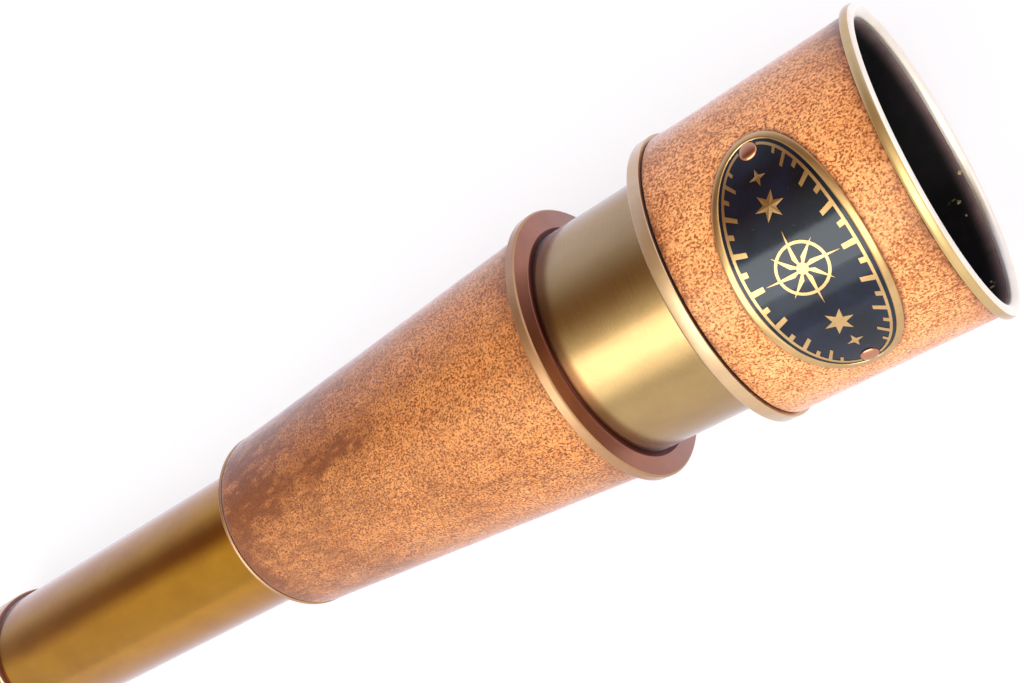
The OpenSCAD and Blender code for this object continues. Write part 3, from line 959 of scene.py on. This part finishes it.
def tube(node, body, outside, wall):
    """A plain brass tube with eased ends and faint dents, painted black inside."""
    rear, front, r = span(node)
    middle_r = r - wall / 2
    outline = eased([(rear, r - wall), (rear, r), (front, r), (front, r - wall)], 0.12)
    mesh = turned_mesh(
        node,
        filled_in(outline, 2.0),
        relief=lambda x, turn, at_r: -DENTS * field(x, turn, 9, 14.0, 3) * (at_r > middle_r),
    )
    finished(node, mesh, body, [node], [outside, black_paint])
    give_materials(mesh, centres_of(mesh)[1] < middle_r)


tube("objective_tube", "barrel", drum_brass, 1.0)

cell_rear, cell_front, cell_r = span("objective_cell")
lens_r = span("crown_lens")[2]
cell_outline = [
    (cell_rear, cell_r - 2.9),
    (cell_rear, cell_r - 1.0),
    (cell_front - 2.0, cell_r - 1.0),
    (cell_front - 2.0, cell_r - 0.15),
    (cell_front - 1.85, cell_r),
    (cell_front - 0.2, cell_r),
    (cell_front, cell_r - 0.2),
    (cell_front, lens_r + 0.25),
    (cell_front - 0.15, lens_r + 0.1),
    (cell_rear + 2.0, lens_r + 0.1),
    (cell_rear + 2.0, cell_r - 3.9),
    (cell_rear, cell_r - 3.9),
]
cell_mesh = turned_mesh("objective_cell", cell_outline)
finished("objective_cell", cell_mesh, "barrel", ["objective_cell"], [black_paint])


def lens(node, body, rear_sag, front_sag, glass):
    """A lens with a ground rim, whose faces bulge by their sags."""
    rear, front, r = span(node)
    shares = np.linspace(0, 1, 24)
    face = [(front - front_sag * s * s, r * s) for s in shares]
    back = [(rear + rear_sag * s * s, r * s) for s in shares]
    face[-1] = (face[-1][0] - 0.08, r)
    mesh = turned_mesh(node, face + back[::-1], around=160, closed=False)
    finished(node, mesh, body, [node], [glass])


lens("crown_lens", "barrel", 2.7, 2.0, objective_glass)
keeper_rear, keeper_front, keeper_r = span("lens_retaining_ring")
keeper = [
    (keeper_rear, keeper_r - 0.7),
    (keeper_rear, keeper_r),
    (keeper_front, keeper_r),
    (keeper_front, keeper_r - 0.35),
    (keeper_front - 0.35, keeper_r - 0.7),
]
keeper_mesh = turned_mesh("lens_keeper", keeper)
finished("lens_keeper", keeper_mesh, "barrel", ["lens_retaining_ring"], [black_paint])

hub_rear, flange_seat, flange_r = span("barrel_flange")
SEAT_STEP = 0.3
flange_front = flange_seat - SEAT_STEP
flange_rear = span("barrel_leather")[1]
flange_outline = [
    (hub_rear, drum_r),
    (hub_rear, drum_r + 0.9),
    (flange_rear, drum_r + 0.9),
    (flange_rear, flange_r - 0.15),
    (flange_rear + 0.15, flange_r),
    (flange_front - 0.35, flange_r),
    (flange_front - 0.08, flange_r - 0.22),
    (flange_front, flange_r - 0.42),
    (flange_front, drum_r + 1.15),
    (flange_front + 0.08, drum_r + 1.0),
    (flange_seat - 0.08, drum_r + 0.88),
    (flange_seat, drum_r + 0.8),
    (flange_seat, drum_r + 0.12),
    (flange_seat - 0.15, drum_r),
]
flange_mesh = turned_mesh("barrel_flange", flange_outline)
flange_finishes = [flange_brass, rim_brass, seat_shadow_brass]
finished("barrel_flange", flange_mesh, "barrel", ["barrel_flange"], flange_finishes)
face_r = centres_of(flange_mesh)[1]
# Faces at the rim take the rim brass, faces by the drum the painted groove shadow, and the face between
# the flange brass.
give_materials(flange_mesh, np.where(face_r > flange_r - 0.5, 1, np.where(face_r < drum_r + 0.95, 2, 0)))

cover_rear, cover_front, cover_r = span("barrel_leather")
small_r = span("barrel_end_ring")[2] - 0.05
LEATHER_T = 0.8


def cover_at(x):
    """The radius of the barrel's leather at a place along it."""
    return cover_r + (small_r - cover_r) * (cover_front - x) / (cover_front - cover_rear)


turn_in = [
    (cover_rear + 1.6 * (1 - math.cos(a)), cover_at(cover_rear) - LEATHER_T * (1 - math.sin(a)))
    for a in np.linspace(math.pi / 2, 0, 8)
]
cover_outline = filled_in(
    [
        (cover_front - 0.02, cover_r - LEATHER_T),
        (cover_front - 0.02, cover_r - 0.25),
        (cover_front - 0.1, cover_r - 0.06),
        (cover_front - 0.3, cover_at(cover_front - 0.3)),
    ]
    + turn_in
    + [(cover_rear, small_r - LEATHER_T)],
    GRAIN_STEP,
)
mean_r = (cover_r + small_r) / 2


def painted_dark_band(x, turn):
    """A long soft dark band painted along the barrel's upper side, towards the rear: painted shade where
    the waxed leather would mirror the dark part of the room overhead.
    """
    drift = (field(x, turn, 12, 18.0, 91) - 0.5) * math.radians(22)
    off = (np.mod(turn, 2 * math.pi) - math.radians(80) - drift) / math.radians(15)
    depth = 0.2 + 0.5 * field(x, turn, 40, 7.0, 92)
    along = (x - cover_rear - 34) / 28
    return depth * np.exp(-off * off - along * along)


COVER_PEBBLE = 0.8
COVER_SEED = 57
cover_cells = int(2 * math.pi * mean_r / COVER_PEBBLE)
barrel_grain = leather_relief(cover_cells, mean_r, COVER_SEED)
# The barrel's stain mark also carries this painted band of shade.
barrel_marks = leather_marks(
    cover_cells, mean_r, cover_rear, cover_front, COVER_SEED, reach=(12, 3), rear_darkening=0.66, dirt_and_shade=painted_dark_band
)


def barrel_relief(x, turn, r):
    """The grain, on the tapered outside only."""
    outer = r > cover_at(x) - 0.45
    return barrel_grain(x, turn, np.where(outer, mean_r, 0.0))


finished(
    "barrel_leather",
    turned_mesh(
        "barrel_leather",
        cover_outline,
        around=int(2 * math.pi * mean_r / GRAIN_STEP),
        relief=barrel_relief,
        marks=barrel_marks,
    ),
    "barrel",
    ["barrel_leather"],
    [barrel_leather],
    crease=60,
)

end_rear, end_hub, end_r = span("barrel_end_ring")
hub_r = 19.4
hub_bore_r = 18.3
draw_r = span("draw_tube")[2]
lip = (cover_rear - 0.45, end_r - 0.55, 0.45)
end_outline = (
    [(end_rear, draw_r + 0.55)]
    + [(end_rear, end_r - 1.1), (end_rear + 0.3, end_r - 0.8)]
    + bead_arc(*lip, 200, 0, 16)
    + [(cover_rear, hub_r), (end_hub - 0.2, hub_r), (end_hub, hub_r - 0.2)]
    + [(end_hub, hub_bore_r), (end_rear + 1.5, hub_bore_r)]
    + [(end_rear + 1.5, draw_r + 0.4), (end_rear + 0.15, draw_r + 0.4)]
)
end_mesh = turned_mesh("barrel_end_ring", end_outline)
finished("barrel_end_ring", end_mesh, "barrel", ["barrel_end_ring"], [rim_brass])

# ---------------------------------------------------------------- draw and eyepiece

DRAW_WALL = 0.8
tube("draw_tube", "draw", draw_brass, DRAW_WALL)
band_rear, band_front, collar_r = span("draw_collar")
collar_outline = [
    (band_rear, draw_r - DRAW_WALL),
    (band_rear, collar_r - 0.4),
    (band_rear + 0.4, collar_r),
    (band_rear + 1.6, collar_r),
    (band_rear + 1.75, collar_r - 0.3),
    (band_rear + 2.05, collar_r - 0.3),
    (band_rear + 2.2, collar_r),
    (band_front - 2.2, collar_r),
    (band_front - 2.05, collar_r - 0.3),
    (band_front - 1.75, collar_r - 0.3),
    (band_front - 1.6, collar_r),
    (band_front - 0.4, collar_r),
    (band_front - 0.1, collar_r - 0.25),
    (band_front, collar_r - 0.5),
    (band_front, draw_r + 0.01),
    (band_rear + 2.0, draw_r + 0.01),
    (band_rear + 2.0, draw_r - DRAW_WALL),
]
collar_mesh = turned_mesh("draw_collar", collar_outline)
finished("draw_collar", collar_mesh, "draw", ["draw_collar"], [ring_brass, dark_brass])
# The collar's front face takes the dark brass as painted shade; the rest is ring brass.
give_materials(collar_mesh, centres_of(collar_mesh)[0] > band_front - 0.2)

eye_rear, eye_front, knurl_r = span("eyepiece_tube")
shoulder = band_rear
KNURL_LEN = 5.0
KNURL_TEETH = 84
KNURL_SLANT = 1.55
neck_r = knurl_r - 2.0
knurl_rear = shoulder - KNURL_LEN
EYEPIECE_BORE = 15.0
CUP_ROOT_R = 11.5
spigot_r = draw_r - 0.81
eyepiece_outline = (
    [(eye_rear, CUP_ROOT_R), (eye_rear, neck_r)]
    + [(knurl_rear - 0.3, neck_r), (knurl_rear, neck_r + 0.3)]
    + [(knurl_rear, knurl_r - 0.35), (knurl_rear + 0.35, knurl_r)]
    + [(x, knurl_r) for x in np.linspace(knurl_rear + 0.5, shoulder - 0.5, 34)]
    + [(shoulder - 0.35, knurl_r), (shoulder - 0.02, knurl_r - 0.35)]
    + [(shoulder - 0.02, spigot_r), (eye_front, spigot_r)]
    + [(eye_front, EYEPIECE_BORE), (eye_rear + 2.0, EYEPIECE_BORE), (eye_rear + 2.0, CUP_ROOT_R)]
)


def knurl(x, turn, r):
    """Crossed ridges pressed into the grip ring."""
    a = np.abs(np.mod(turn * KNURL_TEETH / (2 * math.pi) + x * KNURL_SLANT, 1) - 0.5)
    b = np.abs(np.mod(turn * KNURL_TEETH / (2 * math.pi) - x * KNURL_SLANT, 1) - 0.5)
    on_grip = (r > knurl_r - 0.01) & (x > knurl_rear + 0.45) & (x < shoulder - 0.45)
    return -0.36 * np.maximum(a, b) * on_grip


eyepiece_mesh = turned_mesh("eyepiece_tube", filled_in(eyepiece_outline, 2.5), 8 * KNURL_TEETH, knurl)
finished("eyepiece_tube", eyepiece_mesh, "draw", ["eyepiece_tube"], [drum_brass])

cup_rear, cup_screw, cup_r = span("eye_cup")
cup_root = eye_rear
rim_front = cup_rear + 5.0
CUP_BORE_R = 9.1
EYE_HOLE_R = 4.0
flare = [
    (rim_front + (cup_root - rim_front) * (1 - math.cos(a)), cup_r - (cup_r - 15.4) * math.sin(a))
    for a in np.linspace(0, math.pi / 2, 28)
]
cup_outline = (
    [(cup_rear, 18.6), (cup_rear, cup_r - 0.45), (cup_rear + 0.12, cup_r - 0.15), (cup_rear + 0.45, cup_r)]
    + [(rim_front - 1.5, cup_r), (rim_front - 1.4, cup_r - 0.15)]
    + [(rim_front - 1.1, cup_r - 0.15), (rim_front - 1.0, cup_r)]
    + flare
    + [(cup_root, CUP_ROOT_R), (cup_screw, CUP_ROOT_R), (cup_screw, CUP_BORE_R)]
    + [(cup_rear + 7.7, CUP_BORE_R), (cup_rear + 7.7, EYE_HOLE_R), (cup_rear + 6.6, EYE_HOLE_R)]
    + [(cup_rear + 6.4, 4.25), (cup_rear + 6.25, 4.7), (cup_rear + 0.5, 17.9), (cup_rear + 0.12, 18.35)]
)
cup_mesh = turned_mesh("eye_cup", filled_in(cup_outline, 2.0))
finished("eye_cup", cup_mesh, "draw", ["eye_cup"], [drum_brass, black_paint])
face_x, face_r = centres_of(cup_mesh)
give_materials(cup_mesh, (face_x > cup_rear + 0.3) & (face_x < cup_rear + 7.8) & (face_r < 18.2))
lens("eye_lens", "draw", 0.0, 3.0, eye_glass)

# ---------------------------------------------------------------- CAD nodes kept as they are

KEPT = {
    "flint_lens": objective_glass,
    "barrel_tube": inner_brass,
    "packing_retainer": dark_brass,
    "draw_packing": packing_felt,
    "shade_packing": packing_felt,
    "draw_stop_ring": dark_brass,
    "draw_baffle": black_paint,
    "erector_tube": black_paint,
    "erector_collars": dark_brass,
    "erector_front_lens": eye_glass,
    "erector_rear_lens": eye_glass,
    "erector_stop": black_paint,
    "erector_lens_rings": dark_brass,
    "field_lens": eye_glass,
    "field_lens_ring": dark_brass,
}
for node, material in KEPT.items():
    mesh = frame["nodes"][node].data
    mesh.materials.clear()
    mesh.materials.append(material)

# ---------------------------------------------------------------- floor, light, camera

# The telescope lies on its flange and on the eye cup's rim, so the floor runs through both.
flange_x = (flange_rear + flange_front) / 2
cup_x = cup_rear + 0.5
tilt = math.atan2(flange_r - cup_r, flange_x - cup_x)
floor_mesh = bpy.data.meshes.new("floor")
FLOOR_HALF = 3000
corners = [(FLOOR_HALF * a, FLOOR_HALF * b) for a, b in ((-1, -1), (1, -1), (1, 1), (-1, 1))]
floor_points = [(x * MM, y * MM, (-cup_r - (x - cup_x) * math.tan(tilt)) * MM) for x, y in corners]
floor_mesh.from_pydata(floor_points, [], [(0, 1, 2, 3)])
floor = bpy.data.objects.new("floor", floor_mesh)
scene.collection.objects.link(floor)
n = Nodes("floor_paper")
paper = n.noise((60, 60, 60), detail=2)
n.set(
    Base_Color=n.ramp(paper, [(0.3, (0.30, 0.30, 0.31)), (0.7, (0.32, 0.32, 0.325))]),
    Roughness=0.9,
    Emission_Color=(0.985, 0.975, 1.0, 1),
    Emission_Strength=0.7,
)
floor_mesh.materials.append(n.material)

LIT_X = -120
LIGHT_X = 50
LIGHT_DISTANCE = 1400


def light(name, at, size, power, colour):
    """A soft rectangular light that faces the telescope's middle."""
    lamp = bpy.data.lights.new(name, "AREA")
    lamp.shape = "RECTANGLE"
    lamp.size, lamp.size_y = size[0] * MM, size[1] * MM
    lamp.energy = power
    lamp.color = colour
    source = bpy.data.objects.new(name, lamp)
    source.location = Vector(at) * MM
    aim = Vector((LIT_X * MM, 0, 0)) - source.location
    across = Vector((1, 0, 0))
    z = -aim.normalized()
    y = z.cross(across).normalized()
    x = y.cross(z)
    source.rotation_euler = Matrix((x, y, z)).transposed().to_euler()
    scene.collection.objects.link(source)


def at_elevation(degrees):
    """A light's place round the telescope's axis, from 0 at the -Y horizon over the top."""
    a = math.radians(degrees)
    return LIGHT_X, -LIGHT_DISTANCE * math.cos(a), LIGHT_DISTANCE * math.sin(a)


light("key", at_elevation(46), (2400, 800), 22, (1.0, 0.985, 0.95))
light("fill", at_elevation(24), (2400, 400), 4.2, (1.0, 0.985, 0.97))

world = bpy.data.worlds.new("studio")
scene.world = world
world.use_nodes = True
tree = world.node_tree


def world_math(operation, a, b=None, c=None):
    node = tree.nodes.new("ShaderNodeMath")
    node.operation = operation
    for n, value in enumerate((a, b, c)):
        if isinstance(value, bpy.types.NodeSocket):
            tree.links.new(value, node.inputs[n])
        elif value is not None:
            node.inputs[n].default_value = value
    return node.outputs[0]


parts = tree.nodes.new("ShaderNodeSeparateXYZ")
tree.links.new(tree.nodes.new("ShaderNodeTexCoord").outputs["Generated"], parts.inputs[0])
angle = world_math("ARCTAN2", parts.outputs[2], world_math("MULTIPLY", parts.outputs[1], -1))
share = world_math("MULTIPLY_ADD", angle, 0.5 / math.pi, 0.5)
sky = tree.nodes.new("ShaderNodeValToRGB")
# Colour of the room at angles round the telescope's axis, from 0 at the -Y horizon over the top.
ROOM = {
    -180: (0.9, 0.9, 0.95),
    0: (0.9, 0.9, 0.95),
    20: (0.95, 0.95, 0.97),
    66: (1.0, 0.97, 0.9),
    80: (0.62, 0.5, 0.38),
    92: (0.28, 0.15, 0.07),
    110: (0.27, 0.16, 0.09),
    124: (0.5, 0.46, 0.48),
    140: (0.8, 0.84, 1.15),
    165: (0.95, 1.02, 1.4),
    177: (1.0, 1.0, 1.15),
    180: (0.95, 0.95, 1.0),
}
elements = sky.color_ramp.elements
while len(elements) > 1:
    elements.remove(elements[0])
for i, (degrees, colour) in enumerate(ROOM.items()):
    spot = (degrees + 180) / 360
    element = elements[0] if i == 0 else elements.new(spot)
    element.position = spot
    element.color = (*colour, 1)
tree.links.new(share, sky.inputs[0])
# The pattern fades to an even tone at both ends of the axis, where its angles run together.
ends = tree.nodes.new("ShaderNodeMapRange")
ends.interpolation_type = "SMOOTHSTEP"
ends.inputs["From Min"].default_value = 0.76
ends.inputs["From Max"].default_value = 0.97
tree.links.new(world_math("ABSOLUTE", parts.outputs[0]), ends.inputs["Value"])
even = tree.nodes.new("ShaderNodeMix")
even.data_type = "RGBA"
tree.links.new(ends.outputs[0], even.inputs[MIX_SHARE])
tree.links.new(sky.outputs[0], even.inputs[MIX_A])
# The even tone is brighter in front of the mouth than behind the eyepiece.
glare = world_math("MULTIPLY_ADD", world_math("GREATER_THAN", parts.outputs[0], 0.0), 0.9, 0.82)
tone = tree.nodes.new("ShaderNodeCombineXYZ")
for n in range(3):
    tree.links.new(glare, tone.inputs[n])
tree.links.new(tone.outputs[0], even.inputs[MIX_B])
tree.links.new(even.outputs[MIX_RESULT], tree.nodes["Background"].inputs["Color"])
tree.nodes["Background"].inputs["Strength"].default_value = 1.0

# The camera stands by the mouth and looks back and down along the tube.
CAMERA_AT = (33.43, -104.06, 180.23)
CAMERA_AHEAD = (-0.47287, 0.39333, -0.78847)
CAMERA_UP = (0.40655, 0.89129, 0.20081)
view = bpy.data.cameras.new("camera")
camera = bpy.data.objects.new("camera", view)
scene.collection.objects.link(camera)
scene.camera = camera
ahead = Vector(CAMERA_AHEAD).normalized()
right = ahead.cross(Vector(CAMERA_UP)).normalized()
up = right.cross(ahead)
turn = Matrix((right, up, -ahead)).transposed().to_4x4()
camera.matrix_world = Matrix.Translation(Vector(CAMERA_AT) * MM) @ turn
view.sensor_width = 36
view.lens = 40.87
view.shift_x = -0.0927
view.shift_y = 0.0709
view.clip_start = 0.01
view.clip_end = 20
scene.view_settings.view_transform = "Standard"
